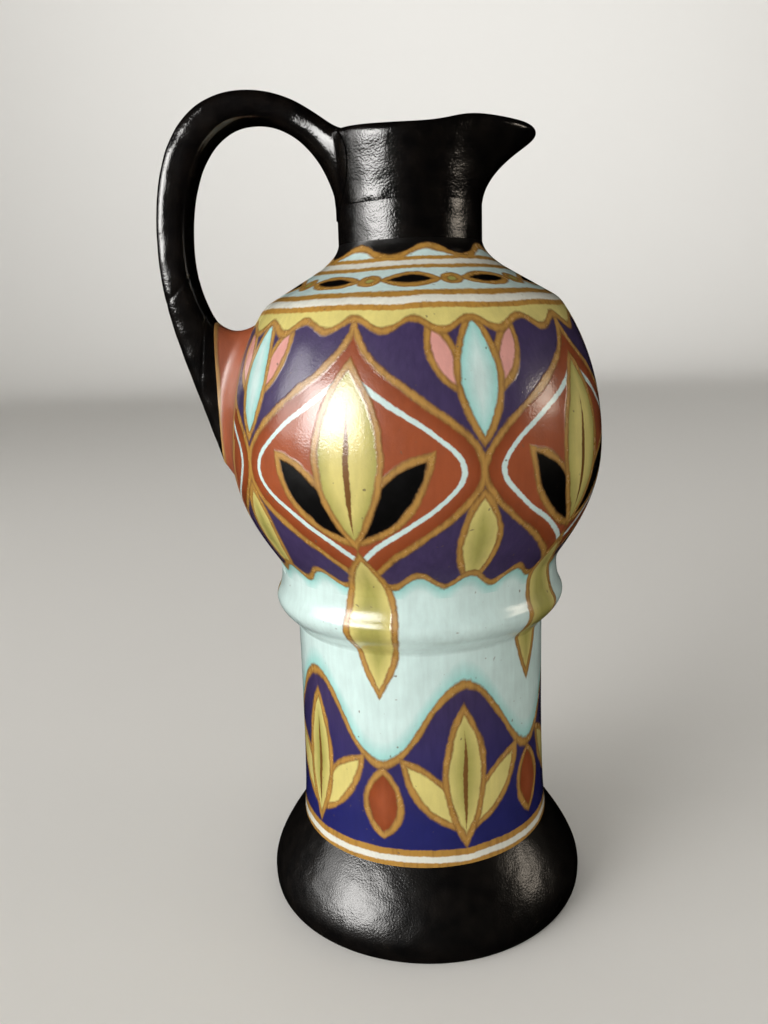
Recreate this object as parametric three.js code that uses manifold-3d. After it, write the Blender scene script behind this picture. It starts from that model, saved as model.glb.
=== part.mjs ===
// Earthenware jug: cast sections joined with slip, a pinched pouring lip and a loop handle.
// Millimetres, +Z up. The turning axis is Z, the base stands on z = 0 and the spout points along +X.
import * as THREE from "three";
import { mergeVertices } from "three/addons/utils/BufferGeometryUtils.js";
import Module from "manifold-3d";

const wasm = await Module();
wasm.setup();

// Clay
const WALL = 4.5; // thickness of the cast walls
const FLOOR = 6; // thickness of the base
const SLIP = 0.3; // joining slip between two sections
const LAP = 3; // height of the spigot that stands inside the next section

// Foot
const FOOT_HEIGHT = 20;
const FOOT_RADIUS = 42.2; // at the roll just above the base
const FOOT_ROLL = 3.8; // height of the roll
const FOOT_EASE = 0.8; // how far the flat base stays inside the roll

// Lower body
const STEM_HEIGHT = 54.7; // from the foot to the cordon
const STEM_RADIUS = 32;
const STEM_SPREAD = 1.3; // extra radius where it meets the foot

// Waist cordon
const CORDON_HEIGHT = 14.2;
const CORDON_DEPTH = 5.4; // how far the crest stands out from the lower body
const GROOVE_DEPTH = 1.6; // from the crest into the groove under the belly

// Belly and shoulder
const BELLY_HEIGHT = 65; // from the groove to the shoulder's edge
const BELLY_RADIUS = 46.3;
const SHOULDER_RADIUS = 35.6;
const SHOULDER_RISE = 7.7;
const COLLAR_RADIUS = 22.4; // where the shoulder turns up into the neck
const COLLAR_RISE = 5.9;

// Neck and lip
const NECK_HEIGHT = 8.5;
const NECK_RADIUS = 17.3;
const LIP_HEIGHT = 16.2;
const LIP_WALL = 3.6; // thickness at the rim
const RIM_RADIUS = 18.8;
const RIM_WAVE = 1.1; // rise of the rim at the spout and at the handle
const SPOUT_REACH = 11; // how far the spout's tip stands out from the rim
const SPOUT_SPREAD = 0.52; // half angle of the spout, in radians
const SPOUT_BROW = 1.2; // rise of the rim on both sides of the spout
const SPOUT_BROW_ANGLE = 0.5; // in radians

// Handle
const HANDLE_THICKNESS = 8.4; // seen from the side
const HANDLE_WIDTH = 11; // across
const HANDLE_FLARE = 15; // extra width where the upper end spreads round the neck
const HANDLE_REACH = 61.8; // from the axis to the outside of the loop
const HANDLE_RISE = 11.4; // top of the loop above the rim
const ROOT_DEPTH = 2.3; // from the belly's widest ring out to the face that carries the handle
const ROOT_HEIGHT = 35.3; // of that face
const ROOT_FLARE = 1.4; // widening of the root where it meets the belly

// Facets
const TURNED_FACETS = 48;
const LIP_FACETS = 64;
const CURVE_STEPS = 6;
const HANDLE_STEPS = 10;
const OVAL_POINTS = 16;
const OVAL_POWER = 0.8; // below 1 the oval is fuller than an ellipse

// Heights of the joints and edges
const CORDON_Z = FOOT_HEIGHT + STEM_HEIGHT;
const WAIST_Z = CORDON_Z + CORDON_HEIGHT * 0.4;
const GROOVE_Z = CORDON_Z + CORDON_HEIGHT;
const SHOULDER_Z = GROOVE_Z + BELLY_HEIGHT;
const COLLAR_Z = SHOULDER_Z + SHOULDER_RISE;
const NECK_Z = COLLAR_Z + COLLAR_RISE;
const LIP_Z = NECK_Z + NECK_HEIGHT;
const RIM_Z = LIP_Z + LIP_HEIGHT;

const CORDON_RADIUS = STEM_RADIUS + CORDON_DEPTH;
const GROOVE_RADIUS = CORDON_RADIUS - GROOVE_DEPTH;

// Colours and roughness of the glazes
const BLACK = { color: 0x15110f, roughness: 0.35 };
const INDIGO = { color: 0x2b2560, roughness: 0.3 };
const MINT = { color: 0xd6ecea, roughness: 0.3 };
const RUST = { color: 0x98482a, roughness: 0.3 };

// Outlines are lists of (radius, height) points from the bottom up.

function footOutline() {
  const top = STEM_RADIUS + STEM_SPREAD;
  const path = new THREE.Path();
  path.moveTo(FOOT_RADIUS - FOOT_EASE, 0);
  path.quadraticCurveTo(FOOT_RADIUS, 0, FOOT_RADIUS, FOOT_ROLL);
  path.bezierCurveTo(
    FOOT_RADIUS, lerp(FOOT_ROLL, FOOT_HEIGHT, 0.28),
    lerp(top, FOOT_RADIUS, 0.1), lerp(FOOT_ROLL, FOOT_HEIGHT, 0.93),
    top, FOOT_HEIGHT,
  );
  return path.getPoints(CURVE_STEPS);
}

function lowerBodyOutline() {
  const path = new THREE.Path();
  path.moveTo(STEM_RADIUS + STEM_SPREAD, FOOT_HEIGHT);
  path.quadraticCurveTo(STEM_RADIUS, lerp(FOOT_HEIGHT, CORDON_Z, 0.2), STEM_RADIUS, CORDON_Z);
  path.lineTo(STEM_RADIUS, WAIST_Z);
  return path.getPoints(CURVE_STEPS);
}

function bellyOutline() {
  const widest = lerp(GROOVE_Z, SHOULDER_Z, 0.46);
  const path = new THREE.Path();
  path.moveTo(STEM_RADIUS, WAIST_Z);
  path.lineTo(GROOVE_RADIUS, GROOVE_Z);
  path.bezierCurveTo(
    GROOVE_RADIUS, lerp(GROOVE_Z, widest, 0.13),
    BELLY_RADIUS, lerp(GROOVE_Z, widest, 0.46),
    BELLY_RADIUS, widest,
  );
  path.bezierCurveTo(
    BELLY_RADIUS, lerp(widest, SHOULDER_Z, 0.48),
    lerp(SHOULDER_RADIUS, BELLY_RADIUS, 0.44), lerp(widest, SHOULDER_Z, 0.82),
    SHOULDER_RADIUS, SHOULDER_Z,
  );
  path.lineTo(COLLAR_RADIUS, COLLAR_Z);
  path.quadraticCurveTo(NECK_RADIUS, lerp(COLLAR_Z, NECK_Z, 0.6), NECK_RADIUS, NECK_Z);
  return path.getPoints(CURVE_STEPS);
}

function neckOutline() {
  const path = new THREE.Path();
  path.moveTo(NECK_RADIUS, NECK_Z);
  path.lineTo(NECK_RADIUS, LIP_Z);
  return path.getPoints();
}

// The outline moved inwards by the thickness of the wall, square to its own direction.
function innerFace(outline, wall) {
  return outline.map((point, i) => {
    const below = outline[Math.max(i - 1, 0)];
    const above = outline[Math.min(i + 1, outline.length - 1)];
    const run = above.clone().sub(below).normalize();
    return new THREE.Vector2(point.x - run.y * wall, point.y + run.x * wall);
  });
}

// The top of a wall, from outside to inside: a ledge and the spigot that the next section fits over.
function spigot(radius, height, wall) {
  return [
    new THREE.Vector2(radius - wall / 2, height),
    new THREE.Vector2(radius - wall / 2, height + LAP),
    new THREE.Vector2(radius - wall, height + LAP),
  ];
}

// The bottom of a wall, from inside to outside: the recess that fits over the spigot below.
function recess(innerRadius, radius, height, wall) {
  return [
    new THREE.Vector2(innerRadius, height + LAP + SLIP),
    new THREE.Vector2(radius - wall / 2 + SLIP, height + LAP + SLIP),
    new THREE.Vector2(radius - wall / 2 + SLIP, height + SLIP),
    new THREE.Vector2(radius, height + SLIP),
  ];
}

function radiusAt(outline, height) {
  const above = outline.findIndex((point) => point.y >= height);
  const [low, high] = [outline[Math.max(above - 1, 0)], outline[above]];
  return lerp(low.x, high.x, (height - low.y) / Math.max(high.y - low.y, 1e-6));
}

// A turned wall with a recess at its bottom edge and a spigot at its top edge.
function turnedWall(outline) {
  const bottom = outline[0];
  const top = outline.at(-1);
  const inside = innerFace(outline, WALL);
  const ledge = bottom.y + LAP + SLIP;
  const section = [
    ...outline.slice(1),
    ...spigot(top.x, top.y, WALL),
    ...inside.filter((point, i) => i % 2 && point.y > ledge && point.y < top.y).reverse(),
    ...recess(radiusAt(inside, ledge), bottom.x, bottom.y, WALL),
  ];
  return turned([...section, section[0]]);
}

function footGeometry() {
  const outline = footOutline();
  const top = outline.at(-1);
  const inside = innerFace(outline, WALL).filter((point) => point.y > FLOOR + 1 && point.y < top.y);
  return turned([
    new THREE.Vector2(0, 0),
    ...outline,
    ...spigot(top.x, top.y, WALL),
    ...inside.reverse(),
    new THREE.Vector2(inside.at(-1).x - 2, FLOOR),
    new THREE.Vector2(0, FLOOR),
  ]);
}

// A bead whose back lies on the lower body and on the slope of the belly.
function cordonGeometry() {
  const path = new THREE.Path();
  path.moveTo(STEM_RADIUS + SLIP, CORDON_Z);
  path.lineTo(STEM_RADIUS + SLIP * 3, CORDON_Z);
  path.bezierCurveTo(
    lerp(STEM_RADIUS, CORDON_RADIUS, 0.35), lerp(CORDON_Z, GROOVE_Z, 0.12),
    CORDON_RADIUS, lerp(CORDON_Z, GROOVE_Z, 0.29),
    CORDON_RADIUS, lerp(CORDON_Z, GROOVE_Z, 0.52),
  );
  path.bezierCurveTo(
    CORDON_RADIUS, lerp(CORDON_Z, GROOVE_Z, 0.59),
    GROOVE_RADIUS + SLIP, lerp(CORDON_Z, GROOVE_Z, 0.59),
    GROOVE_RADIUS + SLIP, GROOVE_Z,
  );
  path.lineTo(STEM_RADIUS + SLIP, WAIST_Z - SLIP);
  path.closePath();
  return turned(path.getPoints(CURVE_STEPS));
}

// The rim is drawn out into a spout on the side of +X, and rises a little beside it.
function lipSection(angle) {
  const pull = SPOUT_REACH * Math.exp(-((angle / SPOUT_SPREAD) ** 2));
  const brow = SPOUT_BROW * Math.exp(-(((Math.abs(angle) - SPOUT_BROW_ANGLE) / 0.32) ** 2));
  const height = LIP_HEIGHT + RIM_WAVE * Math.cos(2 * angle) + brow;
  const edge = 1 - (LIP_WALL * 0.45) / height;
  const outside = (t) => new THREE.Vector2(
    lerp(NECK_RADIUS, RIM_RADIUS, t) + pull * (t / edge) ** 2.1,
    LIP_Z + height * t,
  );
  const inside = (t) => outside(t).sub(new THREE.Vector2(lerp(WALL, LIP_WALL, t), 0));
  const crest = (inset, drop) => new THREE.Vector2(
    outside(edge).x - LIP_WALL * inset,
    LIP_Z + height - LIP_WALL * drop,
  );
  const climb = [0.2, 0.4, 0.57, 0.72, 0.83].map((t) => t * edge);
  const ledge = (LAP + SLIP) / height;
  return [
    ...climb.map(outside),
    outside(edge),
    crest(0.13, 0.13),
    crest(0.5, 0),
    crest(0.87, 0.13),
    inside(edge),
    ...climb.slice(1).reverse().map(inside),
    ...recess(inside(ledge).x, NECK_RADIUS, LIP_Z, WALL),
  ];
}

// The handle is drawn by the outer and the inner edge of its side view, in the plane of X and Z.
const FACE_X = -(BELLY_RADIUS + ROOT_DEPTH);
const LOOP_TOP = RIM_Z + HANDLE_RISE;
const LOOP_SIDE = -HANDLE_REACH;
const GRIP_TOP = LOOP_TOP - HANDLE_THICKNESS * 0.9;
const GRIP_SIDE = LOOP_SIDE + HANDLE_THICKNESS;
const GRIP_MID_Z = lerp(SHOULDER_Z, RIM_Z, 0.36);
const FACE_TOP = SHOULDER_Z - BELLY_HEIGHT * 0.05;
const FACE_BOTTOM = FACE_TOP - ROOT_HEIGHT;

function handleOuterEdge() {
  const crown = lerp(-RIM_RADIUS, LOOP_SIDE, 0.45);
  const path = new THREE.Path();
  path.moveTo(-RIM_RADIUS * 0.5, RIM_Z + RIM_WAVE);
  path.bezierCurveTo(
    -RIM_RADIUS * 1.15, RIM_Z + HANDLE_RISE * 0.2,
    lerp(-RIM_RADIUS, LOOP_SIDE, 0.14), LOOP_TOP,
    crown, LOOP_TOP,
  );
  path.bezierCurveTo(
    lerp(crown, LOOP_SIDE, 0.68), LOOP_TOP,
    LOOP_SIDE, lerp(GRIP_MID_Z, LOOP_TOP, 0.64),
    LOOP_SIDE, GRIP_MID_Z,
  );
  path.bezierCurveTo(
    LOOP_SIDE, lerp(GRIP_MID_Z, FACE_BOTTOM, 0.3),
    lerp(LOOP_SIDE, FACE_X, 0.38), lerp(GRIP_MID_Z, FACE_BOTTOM, 0.5),
    FACE_X, FACE_BOTTOM,
  );
  return edgePoints(path);
}

function handleInnerEdge() {
  const crown = lerp(-RIM_RADIUS, GRIP_SIDE, 0.51);
  const path = new THREE.Path();
  path.moveTo(-NECK_RADIUS * 0.92, LIP_Z);
  path.bezierCurveTo(
    -RIM_RADIUS, lerp(LIP_Z, RIM_Z, 0.68),
    lerp(-RIM_RADIUS, GRIP_SIDE, 0.165), GRIP_TOP,
    crown, GRIP_TOP,
  );
  path.bezierCurveTo(
    lerp(crown, GRIP_SIDE, 0.62), GRIP_TOP,
    GRIP_SIDE, lerp(GRIP_MID_Z, GRIP_TOP, 0.6),
    GRIP_SIDE, GRIP_MID_Z,
  );
  path.bezierCurveTo(
    GRIP_SIDE, lerp(GRIP_MID_Z, FACE_TOP, 0.4),
    lerp(GRIP_SIDE, FACE_X, 0.45), lerp(GRIP_MID_Z, FACE_TOP, 0.8),
    FACE_X, FACE_TOP,
  );
  return edgePoints(path);
}

function edgePoints(path) {
  return path.curves.flatMap((curve, i) => curve.getPoints(HANDLE_STEPS).slice(i ? 1 : 0));
}

// The upper end spreads round the neck and laps over the rim as far as its crest.
function handleGeometry() {
  const outer = handleOuterEdge();
  const inner = handleInnerEdge();
  const spread = (i) => Math.max(1 - i / HANDLE_STEPS, 0) ** 3;
  const loop = ovalLoft(outer, inner, outer.map((_, i) => (HANDLE_WIDTH + HANDLE_FLARE * spread(i)) / 2));
  const crest = RIM_Z + RIM_WAVE + SLIP;
  const seat = [
    new THREE.Vector2(0, NECK_Z),
    new THREE.Vector2(NECK_RADIUS + SLIP, NECK_Z),
    new THREE.Vector2(NECK_RADIUS + SLIP, LIP_Z),
    new THREE.Vector2(RIM_RADIUS + SLIP, crest - LIP_WALL * 0.45),
    new THREE.Vector2(RIM_RADIUS - LIP_WALL * 0.13 + SLIP, crest - LIP_WALL * 0.13),
    new THREE.Vector2(RIM_RADIUS - LIP_WALL * 0.5, crest),
    new THREE.Vector2(RIM_RADIUS - LIP_WALL * 0.5, LOOP_TOP),
    new THREE.Vector2(0, LOOP_TOP),
  ];
  return cut(loop, turned(seat));
}

// A web of clay between the handle's end and the belly.
function handleRootGeometry() {
  const bury = -SHOULDER_RADIUS * 0.9;
  const face = FACE_X + SLIP;
  const lower = new THREE.CubicBezierCurve(
    new THREE.Vector2(face, FACE_BOTTOM),
    new THREE.Vector2(lerp(face, bury, 0.2), FACE_BOTTOM - ROOT_HEIGHT * 0.14),
    new THREE.Vector2(lerp(face, bury, 0.4), FACE_BOTTOM - ROOT_HEIGHT * 0.3),
    new THREE.Vector2(bury, FACE_BOTTOM - ROOT_HEIGHT * 0.4),
  ).getPoints(CURVE_STEPS);
  const upper = new THREE.CubicBezierCurve(
    new THREE.Vector2(face, FACE_TOP),
    new THREE.Vector2(lerp(face, bury, 0.3), FACE_TOP - 4),
    new THREE.Vector2(lerp(face, bury, 0.5), FACE_TOP - 2.2),
    new THREE.Vector2(bury, SHOULDER_Z),
  ).getPoints(CURVE_STEPS);
  const spread = (i) => HANDLE_WIDTH / 2 + ROOT_FLARE * (i / CURVE_STEPS);
  const web = ovalLoft(lower, upper, lower.map((_, i) => spread(i)));
  const skin = innerFace(bellyOutline(), -SLIP);
  const seat = [new THREE.Vector2(0, skin[0].y), ...skin, new THREE.Vector2(0, skin.at(-1).y)];
  return cut(web, turned(seat));
}

function lerp(from, to, t) {
  return from + (to - from) * t;
}

// A profile of (radius, height) points turned about Z.
function turned(profile) {
  const geometry = new THREE.LatheGeometry(profile, TURNED_FACETS);
  geometry.rotateX(Math.PI / 2);
  return geometry;
}

// A closed ring whose section changes with the angle about Z.
function ringLoft(sectionAt, facets) {
  const rows = [];
  for (let i = 0; i < facets; i += 1) {
    const turn = (2 * Math.PI * i) / facets;
    const angle = turn > Math.PI ? turn - 2 * Math.PI : turn;
    rows.push(sectionAt(angle).map((point) => new THREE.Vector3(
      point.x * Math.cos(angle),
      point.x * Math.sin(angle),
      point.y,
    )));
  }
  rows.push(rows[0]);
  return skinned(rows.reverse(), []);
}

function fuller(value) {
  return Math.sign(value) * Math.abs(value) ** OVAL_POWER;
}

// A closed body through upright ovals, each between a point of one edge and the same point of the other.
function ovalLoft(outer, inner, halfWidths) {
  const rows = outer.map((point, i) => {
    const middle = point.clone().add(inner[i]).multiplyScalar(0.5);
    const reach = point.clone().sub(inner[i]).multiplyScalar(0.5);
    return Array.from({ length: OVAL_POINTS }, (_, k) => {
      const turn = (2 * Math.PI * k) / OVAL_POINTS;
      const along = fuller(Math.cos(turn));
      return new THREE.Vector3(
        middle.x + reach.x * along,
        halfWidths[i] * fuller(Math.sin(turn)),
        middle.y + reach.y * along,
      );
    });
  });
  const end = rows.length - 1;
  const caps = [];
  for (let k = 1; k < OVAL_POINTS - 1; k += 1) {
    caps.push([rows[0][0], rows[0][k + 1], rows[0][k]]);
    caps.push([rows[end][0], rows[end][k], rows[end][k + 1]]);
  }
  return skinned(rows, caps);
}

// Triangles between neighbouring rows of points, each row a closed loop, with further triangles added.
function skinned(rows, extra) {
  const triangles = [...extra];
  for (let i = 0; i < rows.length - 1; i += 1) {
    const count = rows[i].length;
    for (let k = 0; k < count; k += 1) {
      const next = (k + 1) % count;
      triangles.push([rows[i][k], rows[i][next], rows[i + 1][k]]);
      triangles.push([rows[i][next], rows[i + 1][next], rows[i + 1][k]]);
    }
  }
  return new THREE.BufferGeometry().setFromPoints(triangles.flat());
}

function solid(geometry) {
  const bare = new THREE.BufferGeometry();
  bare.setAttribute("position", geometry.getAttribute("position"));
  bare.setIndex(geometry.getIndex());
  const merged = mergeVertices(bare, 1e-4);
  const triangles = merged.getIndex().array;
  const kept = [];
  for (let i = 0; i < triangles.length; i += 3) {
    const [a, b, c] = triangles.slice(i, i + 3);
    if (a !== b && b !== c && c !== a) {
      kept.push(a, b, c);
    }
  }
  return new wasm.Manifold(new wasm.Mesh({
    numProp: 3,
    vertProperties: new Float32Array(merged.getAttribute("position").array),
    triVerts: new Uint32Array(kept),
  }));
}

function cut(geometry, tool) {
  const mesh = solid(geometry).subtract(solid(tool)).getMesh();
  const result = new THREE.BufferGeometry();
  result.setAttribute("position", new THREE.BufferAttribute(mesh.vertProperties, 3));
  result.setIndex(new THREE.BufferAttribute(mesh.triVerts, 1));
  return result;
}

function piece(name, geometry, glaze) {
  const mesh = new THREE.Mesh(geometry, new THREE.MeshStandardMaterial({ ...glaze, metalness: 0 }));
  mesh.name = name;
  return mesh;
}

const jug = new THREE.Group();
jug.name = "earthenware_jug";
jug.add(piece("foot", footGeometry(), BLACK));
jug.add(piece("lower_body", turnedWall(lowerBodyOutline()), INDIGO));
jug.add(piece("waist_cordon", cordonGeometry(), MINT));
jug.add(piece("belly", turnedWall(bellyOutline()), RUST));
jug.add(piece("neck", turnedWall(neckOutline()), BLACK));
jug.add(piece("spout_lip", ringLoft(lipSection, LIP_FACETS), BLACK));
jug.add(piece("handle", handleGeometry(), BLACK));
jug.add(piece("handle_root", handleRootGeometry(), RUST));

export default jug;
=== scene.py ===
"""Looks of the earthenware jug: glazed sections, painted body, pale floor, soft lights and camera."""
import math

import bmesh
import bpy
import numpy as np
from mathutils import Matrix, Vector


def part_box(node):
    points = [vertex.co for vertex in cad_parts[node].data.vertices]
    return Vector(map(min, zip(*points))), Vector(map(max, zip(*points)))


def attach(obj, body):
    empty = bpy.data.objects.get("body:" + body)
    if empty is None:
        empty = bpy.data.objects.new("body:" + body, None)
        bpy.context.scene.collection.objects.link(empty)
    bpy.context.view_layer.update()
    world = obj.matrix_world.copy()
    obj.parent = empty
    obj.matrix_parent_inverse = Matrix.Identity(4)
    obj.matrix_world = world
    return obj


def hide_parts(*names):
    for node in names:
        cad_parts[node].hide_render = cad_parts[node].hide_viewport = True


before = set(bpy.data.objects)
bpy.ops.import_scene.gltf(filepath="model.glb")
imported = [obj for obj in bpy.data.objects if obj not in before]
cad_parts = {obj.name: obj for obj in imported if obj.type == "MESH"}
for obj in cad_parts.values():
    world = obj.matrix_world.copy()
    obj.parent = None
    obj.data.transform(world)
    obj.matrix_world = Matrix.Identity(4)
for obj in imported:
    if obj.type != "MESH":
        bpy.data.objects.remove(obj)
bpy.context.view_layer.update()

MM = 0.001


def span(node, axis):
    """Lowest and highest coordinate of a CAD node along an axis, in millimetres."""
    low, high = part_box(node)
    return low[axis] / MM, high[axis] / MM


# Sizes of the jug in millimetres, and angles in radians. A node's box gives them where it can.
SLIP = 0.3
WALL = 4.5
FLOOR = 6
FLOOR_COVE = (2, 1)
FOOT_RADIUS = span("foot", 0)[1]
FOOT_TOP = span("lower_body", 2)[0] - SLIP
FOOT_EDGE = 0.8
FOOT_ROLL = 3.8
STEM_FLARE = span("lower_body", 0)[1]
STEM_RADIUS = STEM_FLARE - 1.3
CORDON_Z, GROOVE_Z = span("waist_cordon", 2)
CORDON_RADIUS = span("waist_cordon", 0)[1]
CREASE_DEPTH = 0.2
CREASE_HEIGHT = 2
GROOVE_RADIUS = CORDON_RADIUS - 1.8
GROOVE_HEIGHT = 1.4
BELLY_RADIUS = span("belly", 0)[1]
NECK_RADIUS = span("neck", 0)[1]
NECK_Z = span("neck", 2)[0] - SLIP
COLLAR_Z = NECK_Z - 5.9
COLLAR_RADIUS = 22.4
SHOULDER_Z = COLLAR_Z - 7.7
SHOULDER_RADIUS = 35.6

# The lip and its pinched spout
LIP_Z = span("spout_lip", 2)[0] - SLIP
LIP_HEIGHT = 16.65
LIP_WALL = 3.6
RIM_RADIUS = 18.8
RIM_WAVE = 0.65
RIM_ROLL = 1.6
SPOUT_REACH = 12.2
SPOUT_CURVE = 2.1
SPOUT_SPREAD = 0.52
SPOUT_BROW = 1.35
SPOUT_BROW_ANGLE = 0.68
SPOUT_BROW_WIDTH = 0.4
SPOUT_ROLL = 2.85
SEAM_LEDGE = 0.8
SEAM_HEIGHT = 1.6
SEAM_TURN = -0.65
SEAM_WIDTH = 0.3

# The handle. A power shapes its section: 1 is an ellipse, and less is fuller.
JOIN_Z = LIP_Z + 16.2
LOOP_MIDDLE_Z = SHOULDER_Z + 0.36 * (JOIN_Z - SHOULDER_Z)
LOOP_TOP = span("handle", 2)[1] - 0.4
LOOP_SIDE = span("handle", 0)[0] + 0.6
HANDLE_THICKNESS = 7.7
HANDLE_HALF_WIDTH = 5.5
HANDLE_FLARE = 7.5
HANDLE_POWER = 0.52
PAD_POWER = 0.85
PAD_RISE = 0.35
ROOT_POWER = 0.95
FACE_X = -BELLY_RADIUS - 2.3
FACE_TOP = SHOULDER_Z - 3.25
FACE_BOTTOM = FACE_TOP - 35.3
FILLET_REACH = 4
FILLET_SPREAD = 0.6

# Dents and nicks in the handle, with depths as shares of its section. A nick has a height and a depth.
DENT_DEPTH = 0.006
NICKS = ((158.4, 0.016), (141.8, 0.012))
NICK_LENGTH = 0.6

# Fineness of the meshes, and how many times a line's corners are softened
COLUMNS = 192
STEP = 0.8
FINE_STEP = STEP * 0.6
INNER_STEP = 2.5
LIP_STEPS = 26
CREST_STEPS = 15
HANDLE_COLUMNS = 64
HANDLE_STEPS = 80
ROOT_COLUMNS = 128
ROOT_STEPS = 60
FOOT_SOFTENING = 2
CORDON_SOFTENING = 8
BELLY_SOFTENING = 3
LIP_SOFTENING = 8
WELD_DISTANCE = 1e-7
SHARP_DEGREES = 48


# Lines and outlines

def curve(*points, steps=24):
    """Points along the Bezier curve of any number of control points."""
    t = np.linspace(0, 1, steps + 1)[:, None]
    layer = [np.array(point, float) for point in points]
    while len(layer) > 1:
        layer = [a + (b - a) * t for a, b in zip(layer, layer[1:])]
    return layer[0]


def joined(*curves):
    """One line from curves that each begin where the last one ends."""
    return np.vstack([curves[0]] + [part[1:] for part in curves[1:]])


def even(points, step):
    """The same line with points about one step apart."""
    lengths = np.r_[0, np.cumsum(np.linalg.norm(np.diff(points, axis=0), axis=1))]
    marks = np.linspace(0, lengths[-1], max(round(lengths[-1] / step), 1) + 1)
    return np.column_stack([np.interp(marks, lengths, column) for column in points.T])


def softened(points, passes):
    """The same line with its corners rounded."""
    points = points.copy()
    for _ in range(passes):
        points[1:-1] = (points[:-2] + 2 * points[1:-1] + points[2:]) / 4
    return points


def inner_face(outline):
    """The outline moved inwards by the wall's thickness, square to its own direction."""
    run = np.gradient(outline, axis=0)
    run /= np.linalg.norm(run, axis=1)[:, None]
    return outline + WALL * np.column_stack([-run[:, 1], run[:, 0]])


def lerp(a, b, t):
    return a + (b - a) * t


def foot_outline():
    return joined(
        curve((FOOT_RADIUS - FOOT_EDGE, 0), (FOOT_RADIUS, 0), (FOOT_RADIUS, FOOT_ROLL)),
        curve(
            (FOOT_RADIUS, FOOT_ROLL),
            (FOOT_RADIUS, lerp(FOOT_ROLL, FOOT_TOP, 0.28)),
            (lerp(STEM_FLARE, FOOT_RADIUS, 0.1), lerp(FOOT_ROLL, FOOT_TOP, 0.93)),
            (STEM_FLARE, FOOT_TOP),
        ),
    )


def stem_outline():
    """The lower body, up to where the cordon hides its edge."""
    return joined(
        curve(
            (STEM_FLARE, FOOT_TOP),
            (STEM_RADIUS, lerp(FOOT_TOP, CORDON_Z, 0.2)),
            (STEM_RADIUS, CORDON_Z),
        ),
        curve((STEM_RADIUS, CORDON_Z), (STEM_RADIUS, lerp(CORDON_Z, GROOVE_Z, 0.4))),
    )


def cordon_outline():
    """The bead, from a line just inside the lower body's wall up to the groove."""
    crest = lerp(CORDON_Z, GROOVE_Z, 0.52)
    return joined(
        curve((STEM_RADIUS - CREASE_DEPTH, CORDON_Z - CREASE_HEIGHT), (STEM_RADIUS, CORDON_Z)),
        curve(
            (STEM_RADIUS, CORDON_Z),
            (lerp(STEM_RADIUS, CORDON_RADIUS, 0.3), lerp(CORDON_Z, GROOVE_Z, 0.11)),
            (CORDON_RADIUS, lerp(CORDON_Z, GROOVE_Z, 0.29)),
            (CORDON_RADIUS, crest),
        ),
        curve(
            (CORDON_RADIUS, crest),
            (CORDON_RADIUS, lerp(CORDON_Z, GROOVE_Z, 0.58)),
            (GROOVE_RADIUS, lerp(CORDON_Z, GROOVE_Z, 0.58)),
            (GROOVE_RADIUS, GROOVE_Z),
        ),
    )


def belly_outline():
    """The groove, the globe, the sloping shoulder and the hollow curve up to the neck."""
    widest = lerp(GROOVE_Z, SHOULDER_Z, 0.46)
    groove_top = GROOVE_Z + GROOVE_HEIGHT
    return joined(
        curve((GROOVE_RADIUS, GROOVE_Z), (GROOVE_RADIUS, groove_top)),
        curve(
            (GROOVE_RADIUS, groove_top),
            (GROOVE_RADIUS, lerp(GROOVE_Z, widest, 0.13)),
            (BELLY_RADIUS, lerp(GROOVE_Z, widest, 0.46)),
            (BELLY_RADIUS, widest),
        ),
        curve(
            (BELLY_RADIUS, widest),
            (BELLY_RADIUS, lerp(widest, SHOULDER_Z, 0.48)),
            (lerp(SHOULDER_RADIUS, BELLY_RADIUS, 0.44), lerp(widest, SHOULDER_Z, 0.82)),
            (SHOULDER_RADIUS, SHOULDER_Z),
        ),
        curve((SHOULDER_RADIUS, SHOULDER_Z), (COLLAR_RADIUS, COLLAR_Z)),
        curve(
            (COLLAR_RADIUS, COLLAR_Z),
            (NECK_RADIUS, lerp(COLLAR_Z, NECK_Z, 0.6)),
            (NECK_RADIUS, NECK_Z),
        ),
    )


def neck_outline():
    return curve((NECK_RADIUS, NECK_Z), (NECK_RADIUS, LIP_Z))


def rim_height(angle):
    """Height of the rim over the lip's lower edge, at an angle from the spout."""
    from_brow = (np.abs(angle) - SPOUT_BROW_ANGLE) / SPOUT_BROW_WIDTH
    return LIP_HEIGHT + RIM_WAVE * np.cos(2 * angle) + SPOUT_BROW * np.exp(-(from_brow ** 2))


def lip_section(angle):
    """The lip's section at an angle from the spout: up the outside, over the rim and down the inside."""
    spout = math.exp(-((angle / SPOUT_SPREAD) ** 2))
    height = rim_height(angle)
    roll = lerp(RIM_ROLL, SPOUT_ROLL, spout)
    edge = 1 - roll / height
    t = np.linspace(0, edge, LIP_STEPS)
    outside = np.column_stack([
        lerp(NECK_RADIUS, RIM_RADIUS, t) + spout * SPOUT_REACH * (t / edge) ** SPOUT_CURVE,
        LIP_Z + height * t,
    ])
    thickness = lerp(WALL, LIP_WALL, t) + spout * (SPOUT_ROLL * 2 - LIP_WALL) * (t / edge) ** 3
    inside = outside - np.column_stack([thickness, np.zeros_like(t)])
    bend = np.linspace(0, np.pi, CREST_STEPS)[1:-1]
    middle = (outside[-1] + inside[-1]) / 2
    crest = np.column_stack([
        middle[0] + thickness[-1] / 2 * np.cos(bend),
        middle[1] + roll * np.sin(bend),
    ])
    return softened(np.vstack([outside, crest, inside[::-1]]), LIP_SOFTENING)


def lip_radius(height):
    """Outer radius of the lip away from the spout."""
    return lerp(NECK_RADIUS, RIM_RADIUS, np.clip((height - LIP_Z) / LIP_HEIGHT, 0, 1))


# Meshes

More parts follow.
